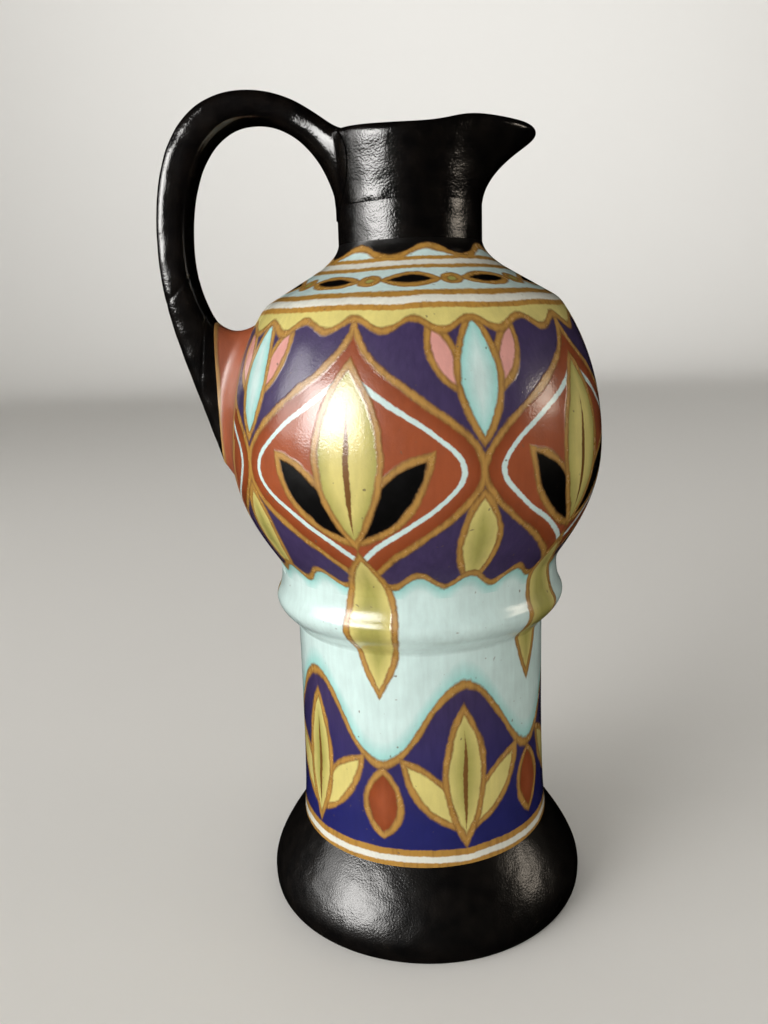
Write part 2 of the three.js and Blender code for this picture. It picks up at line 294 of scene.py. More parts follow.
def unevenness(turn, height):
    """How far the hand-finished wall strays from a true circle."""
    return 0.1 * np.sin(2 * turn + 0.6 + height * 0.02) + 0.06 * np.sin(5 * turn - height * 0.07)


def turned(section):
    """Rows of points where a section of (radius, height) points is turned about Z."""
    turn = np.linspace(-np.pi, np.pi, COLUMNS, endpoint=False)
    height = section[:, 1, None]
    radius = section[:, 0, None] + unevenness(turn, height) * (section[:, 0, None] > 0)
    return np.dstack([radius * np.sin(turn), -radius * np.cos(turn), height + 0 * turn])


def skin(name, rows, ring=False, outside_rows=None):
    """A mesh object over rows of points in millimetres. Each row is a closed loop of equal length.
    With ring, the last row joins the first. A row that is one point closes an end.
    Faces past the outside rows take the second material."""
    count, columns = rows.shape[:2]
    bands = count if ring else count - 1
    lengths = np.r_[0, np.cumsum(np.linalg.norm(np.roll(rows, -1, 0) - rows, axis=2).mean(1))]
    marks = lengths / lengths[bands]
    faces = []
    corners = []
    for i in range(bands):
        below = i * columns
        above = (i + 1) % count * columns
        for k in range(columns):
            after = (k + 1) % columns
            faces.append((below + k, below + after, above + after, above + k))
            left, right = k / columns, (k + 1) / columns
            corners += [left, marks[i], right, marks[i], right, marks[i + 1], left, marks[i + 1]]
    mesh = bpy.data.meshes.new(name)
    mesh.from_pydata((rows.reshape(-1, 3) * MM).tolist(), [], faces)
    mesh.uv_layers.new(name="OFBake").data.foreach_set("uv", corners)
    if outside_rows:
        slots = np.arange(len(faces)) // columns >= outside_rows
        mesh.polygons.foreach_set("material_index", slots.astype(np.int32))
    weld(mesh)
    mesh.shade_smooth()
    mesh.set_sharp_from_angle(angle=math.radians(SHARP_DEGREES))
    piece = bpy.data.objects.new(name, mesh)
    bpy.context.scene.collection.objects.link(piece)
    return piece


def weld(mesh):
    """Joins points that coincide and turns all faces outwards."""
    welded = bmesh.new()
    welded.from_mesh(mesh)
    bmesh.ops.remove_doubles(welded, verts=welded.verts, dist=WELD_DISTANCE)
    bmesh.ops.recalc_face_normals(welded, faces=welded.faces)
    welded.to_mesh(mesh)
    welded.free()


def wall(name, outline, rounding=0):
    """A turned wall: its outside from the bottom up and its inside back down."""
    outside = softened(even(outline, STEP), rounding)
    inside = even(inner_face(outside), INNER_STEP)[::-1]
    return skin(name, turned(np.vstack([outside, inside])), ring=True, outside_rows=len(outside))


def foot():
    """The flared foot, from the middle of the base round to the middle of the floor."""
    outside = softened(even(foot_outline(), FINE_STEP), FOOT_SOFTENING)
    inside = even(inner_face(outside), STEP)[::-1]
    inside = inside[inside[:, 1] > FLOOR + FLOOR_COVE[1]]
    floor = even(np.array([inside[-1] - FLOOR_COVE, (0, FLOOR)]), INNER_STEP)
    base = even(np.array([(0, 0), outside[0]]), INNER_STEP)[:-1]
    section = np.vstack([base, outside, inside, floor])
    return skin("foot_turned", turned(section), outside_rows=len(base) + len(outside))


def cordon():
    """The bead round the waist. The walls hide its back."""
    outside = softened(even(cordon_outline(), FINE_STEP), CORDON_SOFTENING)
    back = np.array([(GROOVE_RADIUS - 2, GROOVE_Z), (STEM_RADIUS - 1, CORDON_Z + 1)])
    return skin("waist_bead", turned(np.vstack([outside, back])), ring=True)


def lip():
    """The rim with its spout, and the ledge of the seam at its lower edge."""
    turn = np.linspace(-np.pi, np.pi, COLUMNS, endpoint=False)
    from_spout = (turn + np.pi / 2) % (2 * np.pi) - np.pi
    sections = np.array([lip_section(angle) for angle in from_spout])
    radius = sections[:, :, 0] + unevenness(turn[:, None], sections[:, :, 1])
    seam = SEAM_LEDGE * np.exp(-(((turn - SEAM_TURN) / SEAM_WIDTH) ** 4))
    low = np.exp(-(sections[:, :, 1] - LIP_Z) / SEAM_HEIGHT)
    # The second half of a section is the inside, which has no ledge
    low[:, sections.shape[1] // 2:] = 0
    radius += seam[:, None] * low
    rows = np.dstack([
        radius * np.sin(turn)[:, None],
        -radius * np.cos(turn)[:, None],
        sections[:, :, 1],
    ])
    return skin("pouring_lip", rows.transpose(1, 0, 2), ring=True)


def handle_outer_edge():
    """The outer edge of the handle's side view, in the plane of X and Z, from the lip to the root."""
    crown = lerp(-RIM_RADIUS, LOOP_SIDE, 0.45)
    rise = LOOP_TOP - JOIN_Z
    return joined(
        curve(
            (-RIM_RADIUS + LIP_WALL * 0.9, JOIN_Z + rise * 0.16),
            (-RIM_RADIUS - 0.9, JOIN_Z + rise * 0.28),
            (lerp(-RIM_RADIUS, LOOP_SIDE, 0.155), LOOP_TOP),
            (crown, LOOP_TOP),
            steps=HANDLE_STEPS,
        ),
        curve(
            (crown, LOOP_TOP),
            (lerp(crown, LOOP_SIDE, 0.68), LOOP_TOP),
            (LOOP_SIDE, lerp(LOOP_MIDDLE_Z, LOOP_TOP, 0.64)),
            (LOOP_SIDE, LOOP_MIDDLE_Z),
            steps=HANDLE_STEPS,
        ),
        curve(
            (LOOP_SIDE, LOOP_MIDDLE_Z),
            (LOOP_SIDE, lerp(LOOP_MIDDLE_Z, FACE_BOTTOM, 0.3)),
            (lerp(LOOP_SIDE, FACE_X, 0.38), lerp(LOOP_MIDDLE_Z, FACE_BOTTOM, 0.5)),
            (FACE_X, FACE_BOTTOM),
            steps=HANDLE_STEPS,
        ),
    )


def handle_inner_edge():
    """The edge round the finger opening, from the neck to the root."""
    grip_top = LOOP_TOP - HANDLE_THICKNESS * 0.9
    grip_side = LOOP_SIDE + HANDLE_THICKNESS
    arch = lerp(-RIM_RADIUS, grip_side, 0.51)
    return joined(
        curve(
            (-NECK_RADIUS + 0.4, LIP_Z - 2.5),
            (-NECK_RADIUS - 0.7, lerp(LIP_Z, JOIN_Z, 0.57)),
            (lerp(-RIM_RADIUS, grip_side, 0.197), grip_top),
            (arch, grip_top),
            steps=HANDLE_STEPS,
        ),
        curve(
            (arch, grip_top),
            (lerp(arch, grip_side, 0.62), grip_top),
            (grip_side, lerp(LOOP_MIDDLE_Z, grip_top, 0.6)),
            (grip_side, LOOP_MIDDLE_Z),
            steps=HANDLE_STEPS,
        ),
        curve(
            (grip_side, LOOP_MIDDLE_Z),
            (grip_side, lerp(LOOP_MIDDLE_Z, FACE_TOP, 0.4)),
            (lerp(grip_side, FACE_X, 0.45), lerp(LOOP_MIDDLE_Z, FACE_TOP, 0.8)),
            (FACE_X, FACE_TOP),
            steps=HANDLE_STEPS,
        ),
    )


def ovals(outer, inner, half_widths, powers, columns):
    """Rows of points round upright ovals between two edges. A power below 1 makes an oval fuller."""
    turn = np.linspace(0, 2 * np.pi, columns, endpoint=False)
    cosines, sines = (np.sign(part) * np.abs(part) ** powers for part in (np.cos(turn), np.sin(turn)))
    middle = (outer + inner)[:, None, :] / 2
    reach = (outer - inner)[:, None, :] / 2
    along = middle + reach * cosines[:, :, None]
    return np.dstack([along[:, :, 0], half_widths * sines, along[:, :, 1]])


def capped(rows):
    """Rows with a point added at each end."""
    points = [np.broadcast_to(row.mean(0), row.shape)[None] for row in (rows[0], rows[-1])]
    return np.concatenate([points[0], rows, points[1]])


def worn(rows):
    """Rows of the handle with shallow dents all over and nicks across its outer half."""
    x, y, z = rows.transpose(2, 0, 1)
    middle = rows.mean(1)[:, None, :]
    dents = DENT_DEPTH * np.sin(z * 0.9) * np.sin(x * 0.5 + y * 0.4)
    nicks = sum(
        depth * np.exp(-(((middle[:, :, 2] - height) / NICK_LENGTH) ** 2))
        for height, depth in NICKS
    )
    past_crown = (np.arange(len(rows)) > HANDLE_STEPS)[:, None]
    return middle + (rows - middle) * (1 + dents - nicks * past_crown)[:, :, None]


def pad_radius(x, y, z):
    """Least radius of the clay that the handle spreads over the outside and the rim of the lip."""
    top = LIP_Z + rim_height(np.arctan2(y, x))
    over = np.clip((z - top + RIM_ROLL) / (RIM_ROLL + PAD_RISE), 0, 1)
    crest = (1 - np.sqrt(1 - over ** 2)) * (LIP_WALL / 2 + PAD_RISE)
    return np.where(over < 1, lip_radius(z) + PAD_RISE - crest, 0)


def handle():
    """The loop, whose upper end spreads over the lip as a thin pad of clay."""
    outer = handle_outer_edge()
    near_lip = np.clip(1 - np.arange(len(outer)) / HANDLE_STEPS, 0, 1)
    spread = near_lip ** 3
    upper_side = (1 + np.cos(np.linspace(0, 2 * np.pi, HANDLE_COLUMNS, endpoint=False))) / 2
    half_widths = HANDLE_HALF_WIDTH + HANDLE_FLARE * np.outer(spread, upper_side ** 0.35)
    powers = lerp(HANDLE_POWER, PAD_POWER, near_lip ** 0.7)[:, None]
    rows = worn(ovals(outer, handle_inner_edge(), half_widths, powers, HANDLE_COLUMNS))
    x, y, z = rows.transpose(2, 0, 1)
    wrapped = np.dstack([x * np.cos(y / x), x * np.sin(y / x), z])
    rows = lerp(rows, wrapped, spread[:, None, None])
    reach = np.hypot(rows[:, :, 0], rows[:, :, 1])
    pad = pad_radius(*rows.transpose(2, 0, 1))
    rows[:, :, :2] *= (np.maximum(reach, pad) / reach)[:, :, None]
    return skin("loop_handle", capped(rows))


def handle_root():
    """A web of clay that spreads onto the belly."""
    bury = -SHOULDER_RADIUS * 0.9
    height = FACE_TOP - FACE_BOTTOM
    lower = curve(
        (FACE_X, FACE_BOTTOM),
        (lerp(FACE_X, bury, 0.2), FACE_BOTTOM - height * 0.14),
        (lerp(FACE_X, bury, 0.4), FACE_BOTTOM - height * 0.3),
        (bury, FACE_BOTTOM - height * 0.4),
        steps=ROOT_STEPS,
    )
    upper = curve(
        (FACE_X, FACE_TOP),
        (lerp(FACE_X, bury, 0.3), FACE_TOP - 4),
        (lerp(FACE_X, bury, 0.5), FACE_TOP - 2.2),
        (bury, SHOULDER_Z),
        steps=ROOT_STEPS,
    )
    powers = lerp(HANDLE_POWER, ROOT_POWER, np.linspace(0, 1, ROOT_STEPS + 1)[:, None] ** 0.5)
    rows = ovals(lower, upper, HANDLE_HALF_WIDTH, powers, ROOT_COLUMNS)
    outline = belly_outline()
    clearance = -rows[:, :, 0] - np.interp(rows[:, :, 2], outline[:, 1], outline[:, 0])
    fillet = np.clip(1 - clearance / FILLET_REACH, 0, 1.6) ** 2.2
    behind_face = (np.arange(ROOT_STEPS + 1) > 0)[:, None]
    rows[:, :, 1] *= 1 + FILLET_SPREAD * fillet * behind_face
    return skin("handle_web", capped(rows))


# Shader nodes written as arithmetic

def plug(tree, value, socket):
    """Links a field to a socket, or sets a plain value on it."""
    if isinstance(value, Field):
        tree.links.new(value.socket, socket)
    else:
        socket.default_value = value


class Field:
    """A value that varies over the surface. Arithmetic with it adds nodes to its material."""

    def __init__(self, tree, socket):
        self.tree = tree
        self.socket = socket

    def math(self, operation, second=0.0, third=0.0, clamp=False):
        node = self.tree.nodes.new("ShaderNodeMath")
        node.operation = operation
        node.use_clamp = clamp
        for value, socket in zip((self, second, third), node.inputs):
            plug(self.tree, value, socket)
        return Field(self.tree, node.outputs[0])

    def __add__(self, other):
        return self.math("ADD", other)

    __radd__ = __add__

    def __sub__(self, other):
        return self.math("SUBTRACT", other)

    def __rsub__(self, other):
        return self.math("MULTIPLY_ADD", -1.0, other)

    def __mul__(self, other):
        return self.math("MULTIPLY", other)

    __rmul__ = __mul__

    def __abs__(self):
        return self.math("ABSOLUTE")

    def cos(self):
        return self.math("COSINE")

    def larger(self, other):
        return self.math("MAXIMUM", other)

    def ramp(self, slope, start):
        """A straight ramp that stops at 0 and 1."""
        return self.math("MULTIPLY_ADD", slope, start, clamp=True)


def length(a, b):
    return (a * a + b * b).math("SQRT")


def leaf_edge(across, up, half_width, half_length):
    """Distance from the edge of a leaf with two pointed ends, negative inside."""
    offset = (half_length ** 2 - half_width ** 2) / (2 * half_width)
    return length(abs(across) + offset, up) - (offset + half_width)


def leaning(across, up, degrees):
    """The two coordinates of a leaf that leans outwards."""
    c = math.cos(math.radians(degrees))
    s = math.sin(math.radians(degrees))
    return across * c - up * s, across * s + up * c


def disc_edge(across, up, radius):
    return length(across, up) - radius


def filled(distance):
    """1 inside an edge and 0 outside, given the distance from it, with a soft step between them."""
    return distance.ramp(-3.0, 0.5)


def colour(code):
    """Linear colour of a hexadecimal sRGB code."""
    parts = [int(code[i:i + 2], 16) / 255 for i in (0, 2, 4)]
    return tuple(p / 12.92 if p < 0.04045 else ((p + 0.055) / 1.055) ** 2.4 for p in parts) + (1.0,)


# Colours of the glazes
BLACK = colour("070606")
BROWN_BLACK = colour("130F0C")
RUST = colour("A2502A")
DARK_RUST = colour("8E4016")
INDIGO = colour("3A2E56")
VIOLET = colour("4B3C66")
COBALT = colour("22246A")
MINT = colour("D3EBE8")
TURQUOISE = colour("98D8D2")
YELLOW = colour("DCCE7C")
OLIVE = colour("ABA556")
OCHRE = colour("B98A3C")
BROWN_OCHRE = colour("7C5220")
PINK = colour("E0A096")
WHITE = colour("E8E8DC")
SPECK = colour("6B5A45")
CLAY = colour("D9C7A6")
DARK_CLAY = colour("B79A6E")

# Gloss of the glazes
COAT_IOR = 1.75
DULLNESS = 0.1
ROOT_DULLNESS = 0.3
ROOT_REACH = 18

# The painting repeats round the jug. Turns are in degrees, and half a repeat is measured on the belly.
REPEATS = 5
HALF_REPEAT = math.pi * BELLY_RADIUS / REPEATS
MEDALLION_TURN = -90
BETWEEN_TURN = MEDALLION_TURN + 180 / REPEATS

# Leaves of the painting: the height of the middle, half the width and half the length, in millimetres
TONGUE = (82, 6, 18)
SPRAY_LEAF = (43, 4.8, 17)
SPRAY_VEIN = (41, 0.6, 12)
SPRAY_WING = (38, 3.6, 11.5)
DROP = (36, 4.2, 8.5)
MEDALLION_LEAF = (122, 7.2, 19)
MEDALLION_VEIN = (119, 0.7, 13)
MEDALLION_WING = (113, 4.2, 12.5)
BUD = (138, 4.8, 13)
BUD_WING = (142, 2.8, 7.5)
LOWER_BUD = (103, 4.6, 11)
HANDLE_FIELD = (126, 17, 34)

# Heights and widths of the painting's bands, in millimetres, with counts and a turn in degrees.
# A value per height turns a height into a distance on the surface.
FESTOON_Z = 56
FESTOON_DEPTH = 10
FESTOON_PER_HEIGHT = 0.65
MEDALLION_Z = 119
MEDALLION_PITCH = 62
PALE_LINE_INSET = 4.4
PALE_LINE_HALF_WIDTH = 0.6
WAIST_EDGE_Z = 93.4
WAIST_RIPPLE = 1.6
SHOULDER_EDGE_Z = 148.6
SHOULDER_RIPPLE = 1.2
BAND_Z = 157.9
BAND_RADIUS = 29
BAND_PER_HEIGHT = 2
BAND_LEAVES = 10
BAND_LEAF_HALF_WIDTH = 2.4
BAND_LEAF_HALF_LENGTH = 6
BAND_DOT_RADIUS = 1.8
COLLAR_EDGE_Z = 164.6
COLLAR_SCALLOPS = 7
SCALLOP_DEPTH = 1.3
SCALLOP_TURN = 12


class Glaze:
    """A glaze material with the coordinates on the jug that its painting uses, in millimetres."""

    def __init__(self, name):
        self.material = bpy.data.materials.new(name)
        self.material.use_nodes = True
        self.tree = self.material.node_tree
        self.shader = self.tree.nodes["Principled BSDF"]
        place = self.tree.nodes.new("ShaderNodeTexCoord").outputs["Object"]
        scale = self.tree.nodes.new("ShaderNodeVectorMath")
        scale.operation = "SCALE"
        scale.inputs["Scale"].default_value = 1 / MM
        self.tree.links.new(place, scale.inputs[0])
        self.place = Field(self.tree, scale.outputs["Vector"])

    def noise(self, size, detail=2.0, output="Fac", squeeze=(1, 1, 1)):
        """Smooth random values from 0 to 1, with features of about a size. A squeeze below 1
        draws the features out along that axis."""
        stretched = self.tree.nodes.new("ShaderNodeVectorMath")
        stretched.operation = "MULTIPLY"
        plug(self.tree, self.place, stretched.inputs[0])
        stretched.inputs[1].default_value = [factor / size for factor in squeeze]
        node = self.tree.nodes.new("ShaderNodeTexNoise")
        node.inputs["Scale"].default_value = 1.0
        node.inputs["Detail"].default_value = detail
        self.tree.links.new(stretched.outputs["Vector"], node.inputs["Vector"])
        return Field(self.tree, node.outputs[output])

    def parts(self, vector):
        """The three parts of a vector or a colour."""
        node = self.tree.nodes.new("ShaderNodeSeparateXYZ")
        plug(self.tree, vector, node.inputs[0])
        return [Field(self.tree, socket) for socket in node.outputs]

    def mix(self, below, above, share, manner="MIX"):
        """Two colours laid over each other."""
        node = self.tree.nodes.new("ShaderNodeMixRGB")
        node.blend_type = manner
        plug(self.tree, share, node.inputs["Fac"])
        plug(self.tree, below, node.inputs["Color1"])
        plug(self.tree, above, node.inputs["Color2"])
        return Field(self.tree, node.outputs["Color"])

    def begin_painting(self, ground):
        """Sets the ground colour, and the turn and height of each place with a painter's wobble."""
        x, y, z = self.parts(self.place)
        sway, rise, _ = self.parts(self.noise(14.0, 1.0, "Color"))
        self.turn = x.math("ARCTAN2", y * -1.0) + (sway - 0.5) * 0.035
        self.height = z + (rise - 0.5) * 1.4
        self.ragged = (self.noise(1.0) - 0.5) * 0.5
        self.line_reach = self.noise(5.0) + 0.6
        self.streaks = self.noise(1.1, 3.0, squeeze=(1, 1, 0.15))
        self.ground = ground
        self.lines = 0.0

    def around(self, radius, count, first_degrees=0.0):
        """Distance from the nearest of several upright axes spread evenly round the jug."""
        arc = (self.turn - math.radians(first_degrees)) * radius
        return arc.math("PINGPONG", math.pi * radius / count)

    def leaf(self, across, shape, aside=0.0, lean=0.0):
        """Distance from the edge of a leaf, which may stand aside of the axis and lean outwards."""
        height, half_width, half_length = shape
        up = self.height - height
        if lean:
            across, up = leaning(across - aside, up, lean)
        return leaf_edge(across, up, half_width, half_length)

    def paint(self, distance, tint, outlined=True, edge=None):
        """Fills a shape, given by the distance from its edge, and draws its outline.
        An edge colour pools inside the outline."""
        distance = distance + self.ragged
        cover = filled(distance)
        if edge:
            tint = self.mix(tint, edge, distance.ramp(0.3, 1.2))
        self.ground = self.mix(self.ground, tint, cover)
        self.lines = (1.0 - cover) * self.lines
        if outlined:
            self.stroke(distance)

    def stroke(self, distance):
        """A brushed line along an edge, golden in the middle and browner towards its sides."""
        depth = self.line_reach - abs(distance)
        golden = (depth + self.streaks).math("SUBTRACT", 0.5, clamp=True)
        share = depth.math("MULTIPLY", 1.9, clamp=True)
        self.ground = self.mix(self.ground, self.mix(BROWN_OCHRE, OCHRE, golden), share)
        self.lines = share.larger(self.lines)

    def ring(self, height, white=0.75, whole=1.9):
        """A white line between two ochre ones, round the jug."""
        away = abs(self.height - height)
        self.paint(away - whole, self.mix(BROWN_OCHRE, OCHRE, self.streaks * 2.0), outlined=False)
        self.paint(away - white, WHITE, outlined=False)

    def finish_painting(self, black_share=None, dullness=DULLNESS):
        """Gives the painting its glaze, with black glaze over it where there is a share of that."""
        cloudy = self.noise(6.0, 4.0) * 0.3 + self.streaks * 0.22 + 0.72
        tint = self.mix(self.ground, cloudy, 1.0, "MULTIPLY")
        specks = self.noise(1.2, 0.0).ramp(14.0, -11.4)
        tint = self.mix(tint, SPECK, specks * 0.7)
        roughness = self.noise(2.2, 3.0) * 0.12 + self.lines * 0.1 + dullness
        relief = self.noise(0.5, 2.0) * 0.03 + self.noise(7.0, 1.0) * 0.12 + self.lines * 0.05
        if black_share is not None:
            black_tint, black_roughness, black_relief = self.black_look()
            tint = self.mix(tint, black_tint, black_share)
            roughness = roughness + (black_roughness - roughness) * black_share
            relief = relief + (black_relief - relief) * black_share
        return self.finish(tint, roughness, relief)

    def black_look(self, wrinkles=0.07, satin=0.12, grain=0.042):
        """Colour, roughness and relief of the black glaze. Wrinkles and grain are the depths of
        its brushed ripples and its fine pimples. Satin is its least roughness."""
        patches = self.noise(4.0, 1.0)
        tint = self.mix(BLACK, BROWN_BLACK, patches.ramp(2.0, -0.6))
        pimples = self.noise(0.45, 2.0) * grain
        ripples = self.noise(1.8, 2.0, squeeze=(0.5, 0.5, 1)) * wrinkles
        return tint, patches * 0.1 + satin, pimples + ripples + self.noise(6.0, 1.0) * 0.25

    def finish(self, tint, roughness, relief, glow=0.5, coat=1.0):
        """Joins the glaze's looks: a sharp gloss over a soft glow."""
        plug(self.tree, tint, self.shader.inputs["Base Color"])
        plug(self.tree, roughness + 0.2, self.shader.inputs["Roughness"])
        plug(self.tree, roughness, self.shader.inputs["Coat Roughness"])
        self.shader.inputs["Specular IOR Level"].default_value = glow
        self.shader.inputs["Coat Weight"].default_value = coat
        self.shader.inputs["Coat IOR"].default_value = COAT_IOR
        self.bump(relief)
        return self.material

    def bump(self, height):
        """Relief of the surface, in millimetres."""
        node = self.tree.nodes.new("ShaderNodeBump")
        node.inputs["Strength"].default_value = 1.0
        node.inputs["Distance"].default_value = MM
        plug(self.tree, height, node.inputs["Height"])
        for socket in ("Normal", "Coat Normal"):
            self.tree.links.new(node.outputs["Normal"], self.shader.inputs[socket])


# Glazes of the sections

def black_glaze(name, glow, coat=1.0, **look):
    glaze = Glaze(name)
    return glaze.finish(*glaze.black_look(**look), glow, coat)


def inner_glaze():
    """The pale inside of the body."""
    glaze = Glaze("inner_glaze")
    stain = glaze.noise(8.0, 4.0)
    tint = glaze.mix(CLAY, DARK_CLAY, stain)
    return glaze.finish(tint, stain * 0.2 + 0.3, glaze.noise(2.0) * 0.08)


def root_glaze():
    """Rust, with a line where the black handle begins."""
    glaze = Glaze("rust_root_glaze")
    glaze.begin_painting(RUST)
    x, _, _ = glaze.parts(glaze.place)
    glaze.stroke(x - FACE_X)
    return glaze.finish_painting(dullness=ROOT_DULLNESS)


def tongue(glaze):
    """A pointed olive leaf that crosses the waist, under each medallion."""
    across = glaze.around(CORDON_RADIUS, REPEATS, MEDALLION_TURN)
    glaze.paint(glaze.leaf(across, TONGUE), OLIVE, edge=YELLOW)


def cordon_glaze():
    glaze = Glaze("mint_bead_glaze")
    glaze.begin_painting(MINT)
    tongue(glaze)
    return glaze.finish_painting()


def stem_glaze():
    """Leaf sprays on indigo under a pale border that hangs in festoons."""
    glaze = Glaze("indigo_stem_glaze")
    glaze.begin_painting(INDIGO)
    z = glaze.height
    middle = lerp(FOOT_TOP, CORDON_Z, 0.5)
    upper = glaze.mix(INDIGO, VIOLET, glaze.streaks)
    glaze.ground = glaze.mix(COBALT, upper, (z - middle).ramp(0.03, 0.5))
    between = glaze.around(STEM_RADIUS, REPEATS, BETWEEN_TURN)
    below = glaze.around(STEM_RADIUS, REPEATS, MEDALLION_TURN)
    festoon = (between * (REPEATS / STEM_RADIUS)).cos() * FESTOON_DEPTH + FESTOON_Z
    glaze.paint((festoon - z) * FESTOON_PER_HEIGHT, MINT, edge=TURQUOISE)
    glaze.paint(glaze.leaf(between, SPRAY_WING, aside=7.6, lean=38), YELLOW)
    glaze.paint(glaze.leaf(between, SPRAY_LEAF), OLIVE, edge=YELLOW)
    glaze.paint(glaze.leaf(between, SPRAY_VEIN), BROWN_OCHRE, outlined=False)
    glaze.paint(glaze.leaf(below, DROP), RUST, edge=DARK_RUST)
    tongue(glaze)
    glaze.ring(FOOT_TOP + 1.8, white=0.8, whole=2.5)
    return glaze.finish_painting()


def medallions(glaze):
    """Rust fields with waving sides, each with a pale line, a leaf and two black wings."""
    centre = glaze.around(BELLY_RADIUS, REPEATS, MEDALLION_TURN)
    phase = (glaze.height - MEDALLION_Z) * (2 * math.pi / MEDALLION_PITCH)
    swing = phase.cos() * (HALF_REPEAT / 2) + HALF_REPEAT / 2
    slope = phase.math("SINE") * (HALF_REPEAT * math.pi / MEDALLION_PITCH)
    steep = (slope * slope + 1.0).math("POWER", -0.5)
    field = (centre - swing) * steep
    glaze.paint(field, RUST, edge=DARK_RUST)
    glaze.paint(abs(field + PALE_LINE_INSET) - PALE_LINE_HALF_WIDTH, MINT, outlined=False)
    glaze.paint(glaze.leaf(centre, MEDALLION_WING, aside=9.5, lean=42), BLACK)
    glaze.paint(glaze.leaf(centre, MEDALLION_LEAF), YELLOW, edge=OLIVE)
    glaze.paint(glaze.leaf(centre, MEDALLION_VEIN), BROWN_OCHRE, outlined=False)


def buds(glaze):
    """A bud with two wings above, and one below, between the medallions."""
    between = glaze.around(BELLY_RADIUS, REPEATS, BETWEEN_TURN)
    glaze.paint(glaze.leaf(between, BUD_WING, aside=7.4, lean=24), PINK)
    glaze.paint(glaze.leaf(between, BUD), MINT, edge=TURQUOISE)
    glaze.paint(glaze.leaf(between, LOWER_BUD), OLIVE, edge=YELLOW)


def rippled_edges(glaze):
    """The pale waist under the tongues, and the yellow shoulder, with rippled edges."""
    between = glaze.around(BELLY_RADIUS, REPEATS, BETWEEN_TURN)
    ripple = (between * (4 * math.pi / HALF_REPEAT)).cos()
    glaze.paint(glaze.height - WAIST_EDGE_Z - ripple * WAIST_RIPPLE, MINT, edge=TURQUOISE)
    tongue(glaze)
    glaze.paint(SHOULDER_EDGE_Z - glaze.height + ripple * SHOULDER_RIPPLE, YELLOW)


def shoulder_band(glaze):
    """Level black leaves and olive dots by turns on a pale band."""
    glaze.paint(SHOULDER_Z - glaze.height, MINT, outlined=False)
    from_leaf = glaze.around(BAND_RADIUS, BAND_LEAVES)
    from_dot = glaze.around(BAND_RADIUS, BAND_LEAVES, 180 / BAND_LEAVES)
    up_slope = (glaze.height - BAND_Z) * BAND_PER_HEIGHT
    leaf = leaf_edge(up_slope, from_leaf, BAND_LEAF_HALF_WIDTH, BAND_LEAF_HALF_LENGTH)
    glaze.paint(leaf, BLACK)
    glaze.paint(disc_edge(from_dot, up_slope, BAND_DOT_RADIUS), OLIVE)
    glaze.ring(SHOULDER_Z - 0.3)


def collar(glaze):
    """The scalloped edge of the black neck. Gives the share of the black glaze."""
    glaze.paint(COLLAR_Z + 0.2 - glaze.height, MINT, outlined=False)
    across = glaze.around(NECK_RADIUS, COLLAR_SCALLOPS, SCALLOP_TURN)
    scallop = (across * (COLLAR_SCALLOPS / NECK_RADIUS)).cos() * SCALLOP_DEPTH
    edge = scallop + COLLAR_EDGE_Z - glaze.height
    glaze.paint(edge, BLACK)
    glaze.ring(COLLAR_Z + 0.3, white=0.6, whole=1.5)
    return filled(edge + glaze.ragged) * (1.0 - glaze.lines)


def belly_glaze():
    """Medallions on indigo, a plain field behind the handle, a band on the shoulder and a collar."""
    glaze = Glaze("rust_belly_glaze")
    glaze.begin_painting(INDIGO)
    glaze.ground = glaze.mix(INDIGO, VIOLET, glaze.streaks)
    medallions(glaze)
    buds(glaze)
    handle_side = abs(glaze.turn + math.pi / 2) * BELLY_RADIUS
    glaze.paint(glaze.leaf(handle_side, HANDLE_FIELD), RUST, edge=DARK_RUST)
    rippled_edges(glaze)
    shoulder_band(glaze)
    black_share = collar(glaze)
    near_root = (handle_side - ROOT_REACH).ramp(-0.25, 0.5)
    return glaze.finish_painting(black_share, near_root * (ROOT_DULLNESS - DULLNESS) + DULLNESS)


# The backdrop, in millimetres
FLAT_RADIUS = 2200
COVE = 1200
BACKDROP_TOP = 2400

# The lights, in metres, watts and degrees. Backdrop lamps and their targets are so far out and up.
LIGHT_TARGET = Vector((0, 0, 0.13))
WINDOW_DISTANCE = 2.0
WINDOW_BEAM = 70
BACKDROP_LAMPS = 4
BACKDROP_LAMP_OUT = 1.45
BACKDROP_LAMP_UP = 1.9
BACKDROP_TARGET_OUT = 3.4
BACKDROP_TARGET_UP = 1.0
BACKDROP_LAMP_SIZE = (2.4, 0.7)
BACKDROP_LAMP_POWER = 13
BACKDROP_BEAM = 120
ROOM_STRENGTH = 0.3

# The camera, in metres and degrees, with its lens in pixels of the picture and its sensor in millimetres
EYE = (0, -0.21593, 0.1485)
PITCH = 12.361
YAW = -2.275
ROLL = -1.959
FOCAL_PIXELS = 850
PICTURE_HEIGHT = 1024
SENSOR_HEIGHT = 36


def floor_and_backdrop():
    """A round pale floor that curves up into a wall on every side."""
    wall_radius = FLAT_RADIUS + COVE
    profile = joined(
        np.array([(0, 0), (FLAT_RADIUS, 0)]),
        curve((FLAT_RADIUS, 0), (wall_radius, 0), (wall_radius, COVE)),
        np.array([(wall_radius, COVE), (wall_radius, BACKDROP_TOP)]),
    )
    floor = skin("floor", turned(profile))
    floor.visible_glossy = False
    material = bpy.data.materials.new("pale_floor")
    material.use_nodes = True
    shader = material.node_tree.nodes["Principled BSDF"]
    shader.inputs["Base Color"].default_value = colour("F1F0ED")
    shader.inputs["Roughness"].default_value = 0.7
    floor.data.materials.append(material)


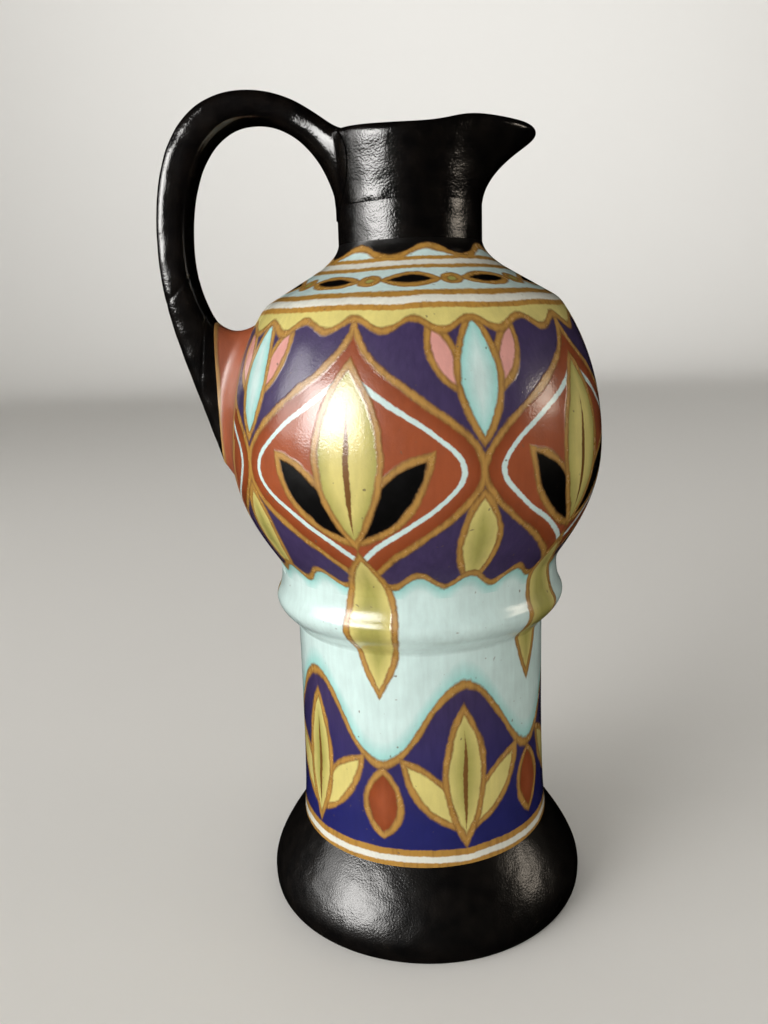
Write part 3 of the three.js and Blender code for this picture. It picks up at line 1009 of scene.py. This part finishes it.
def soft_light(name, place, target, size, power, beam, tint="FFFFFF"):
    """A flat lamp that shines towards a target, in a beam of so many degrees."""
    lamp = bpy.data.lights.new(name, "AREA")
    lamp.shape = "RECTANGLE"
    lamp.size, lamp.size_y = size
    lamp.energy = power
    lamp.spread = math.radians(beam)
    lamp.color = colour(tint)[:3]
    light = bpy.data.objects.new(name, lamp)
    light.location = place
    light.rotation_euler = (Vector(target) - Vector(place)).to_track_quat("-Z", "Y").to_euler()
    light.visible_camera = False
    bpy.context.scene.collection.objects.link(light)


def window(name, azimuth, elevation, size, power, tint):
    """A soft light far from the jug. Its azimuth counts from the camera's side towards +X."""
    turn, rise = math.radians(azimuth), math.radians(elevation)
    direction = Vector((math.sin(turn), -math.cos(turn), math.tan(rise)))
    place = LIGHT_TARGET + WINDOW_DISTANCE * direction
    soft_light(name, place, LIGHT_TARGET, size, power, WINDOW_BEAM, tint)


def backdrop_lights():
    """Lamps above the jug that shine outwards at the backdrop on every side."""
    for k in range(BACKDROP_LAMPS):
        turn = 2 * math.pi * k / BACKDROP_LAMPS
        side = Vector((math.sin(turn), math.cos(turn), 0))
        place = side * BACKDROP_LAMP_OUT + Vector((0, 0, BACKDROP_LAMP_UP))
        target = side * BACKDROP_TARGET_OUT + Vector((0, 0, BACKDROP_TARGET_UP))
        name = f"backdrop_light_{k}"
        soft_light(name, place, target, BACKDROP_LAMP_SIZE, BACKDROP_LAMP_POWER, BACKDROP_BEAM)


def room_light():
    """An even light from all round, which the glaze doesn't mirror."""
    world = bpy.data.worlds.new("room")
    world.use_nodes = True
    background = world.node_tree.nodes["Background"]
    background.inputs["Color"].default_value = colour("FCF8F2")
    background.inputs["Strength"].default_value = ROOM_STRENGTH
    bpy.context.scene.world = world
    world.cycles_visibility.glossy = False


def lights():
    """Windows at the left and the right, lamps for the backdrop and an even room light."""
    window("window_left", azimuth=-51, elevation=14.5, size=(1.5, 0.92), power=6.8, tint="FFFDFA")
    window("wall_left", azimuth=-82, elevation=18, size=(0.6, 1.2), power=0.8, tint="FFFDFA")
    window("window_right", azimuth=83, elevation=12.2, size=(0.67, 0.35), power=0.45, tint="FFF0DC")
    backdrop_lights()
    room_light()
    bpy.context.scene.view_settings.view_transform = "Standard"


def camera():
    """The photograph's viewpoint: close, a little above the middle, and looking down."""
    pitch, yaw, roll = (math.radians(angle) for angle in (PITCH, YAW, ROLL))
    level_ahead = Vector((math.sin(yaw), math.cos(yaw), 0))
    ahead = math.cos(pitch) * level_ahead - Vector((0, 0, math.sin(pitch)))
    level = Vector((math.cos(yaw), -math.sin(yaw), 0))
    upright = level.cross(ahead)
    right = math.cos(roll) * level + math.sin(roll) * upright
    up = math.cos(roll) * upright - math.sin(roll) * level
    data = bpy.data.cameras.new("camera")
    data.sensor_fit = "VERTICAL"
    data.sensor_height = SENSOR_HEIGHT
    data.lens = SENSOR_HEIGHT * FOCAL_PIXELS / PICTURE_HEIGHT
    data.clip_start = 0.01
    eye = bpy.data.objects.new("camera", data)
    turn = Matrix((right, up, -ahead)).transposed().to_4x4()
    eye.matrix_world = Matrix.Translation(EYE) @ turn
    bpy.context.scene.collection.objects.link(eye)
    bpy.context.scene.camera = eye


# The jug

def dress(piece, node, slot, *glazes):
    """Gives a piece its glazes, the outer one first, and puts it in the place of its CAD node."""
    for material in glazes:
        piece.data.materials.append(material)
    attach(piece, "root")
    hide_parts(node)


black = black_glaze("black_brushed_glaze", glow=0.1, wrinkles=0.06, satin=0.09, grain=0.065)
foot_black = black_glaze("black_foot_glaze", glow=0.3, coat=0.7, wrinkles=0.02, satin=0.13, grain=0.06)
handle_black = black_glaze("black_handle_glaze", glow=0.1, wrinkles=0.06, satin=0.04)
pale_inside = inner_glaze()
dress(foot(), "foot", "black_glaze", foot_black, pale_inside)
dress(wall("stem_wall", stem_outline()), "lower_body", "indigo_glaze", stem_glaze(), pale_inside)
dress(cordon(), "waist_cordon", "mint_glaze", cordon_glaze())
belly = wall("belly_wall", belly_outline(), BELLY_SOFTENING)
dress(belly, "belly", "rust_glaze", belly_glaze(), pale_inside)
dress(wall("neck_wall", neck_outline()), "neck", "black_glaze", black, black)
dress(lip(), "spout_lip", "black_glaze", black)
dress(handle(), "handle", "black_glaze", handle_black)
dress(handle_root(), "handle_root", "rust_glaze", root_glaze())
floor_and_backdrop()
lights()
camera()
